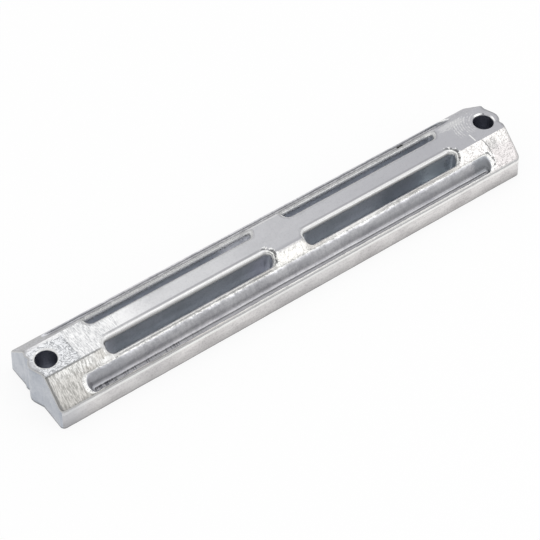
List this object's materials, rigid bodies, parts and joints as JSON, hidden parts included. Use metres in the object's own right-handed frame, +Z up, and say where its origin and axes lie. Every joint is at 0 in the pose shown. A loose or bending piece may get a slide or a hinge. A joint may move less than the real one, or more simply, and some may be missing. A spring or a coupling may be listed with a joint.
{
  "type": "sacrificial anode",
  "caption": "Cast bar anode with a flat underside, sloped sides with long grooves, deep pockets along its top and a bolt hole near each end.",
  "frame": {"origin": "middle of the flat underside, halfway between the bolt holes", "axes": "+X along the bar, +Y across it, +Z up from the flat underside to the narrow flat top"},
  "size_m": [0.2244, 0.0366, 0.0191],
  "materials": {
    "anode_metal": "bare cast metal, satin, partly brushed"
  },
  "bodies": {
    "root": {"anode_casting": "anode_metal"}
  },
  "joints": []
}
